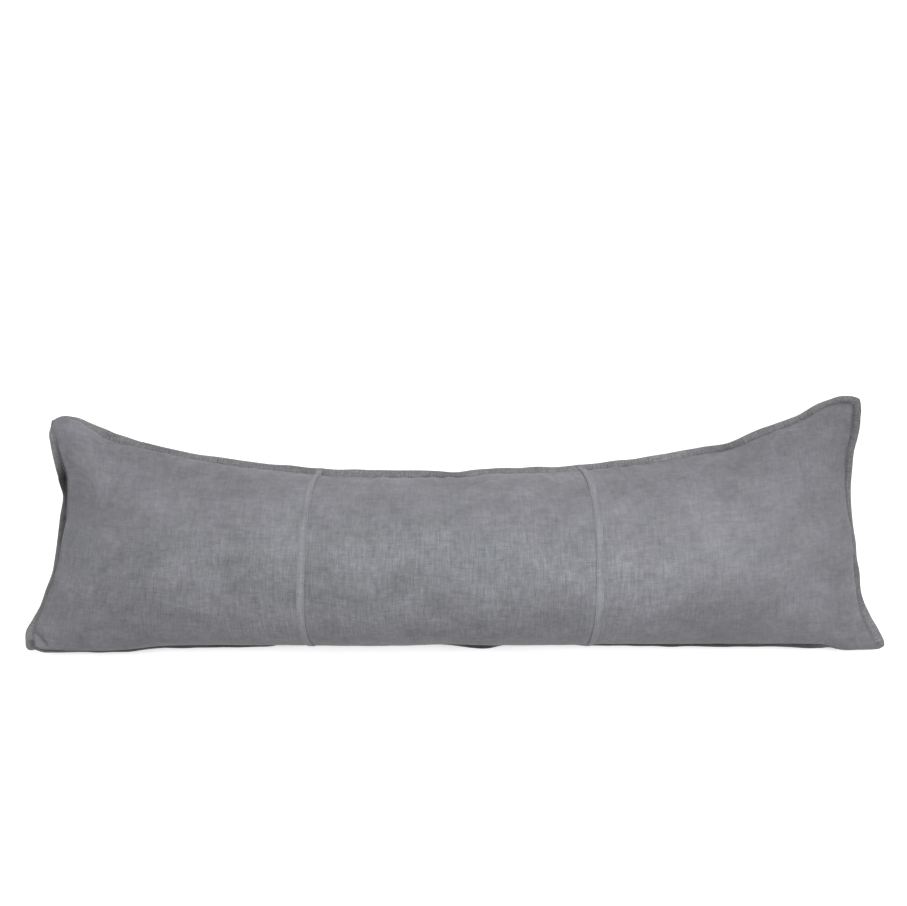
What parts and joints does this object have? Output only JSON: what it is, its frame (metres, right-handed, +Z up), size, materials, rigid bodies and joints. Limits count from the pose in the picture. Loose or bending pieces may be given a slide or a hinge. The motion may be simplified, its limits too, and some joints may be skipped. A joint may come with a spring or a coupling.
{
  "type": "lumbar cushion",
  "caption": "Long filled lumbar cushion in washed grey linen, with a narrow stitched flange all round and flat-felled seams across its face, lying on its back.",
  "frame": {"origin": "on the surface the cushion lies on, under the middle of its whole outline, flange included", "axes": "+X along the cushion's length, +Y towards the long edge that is uppermost when it stands on a seat, +Z up out of its face"},
  "size_m": [1.2072, 0.362, 0.1796],
  "materials": {
    "linen": "matte washed linen weave with slubs"
  },
  "bodies": {
    "root": {"cushion_body": "linen", "flange": "linen", "felled_seam_left": "linen", "felled_seam_right": "linen"}
  },
  "joints": []
}
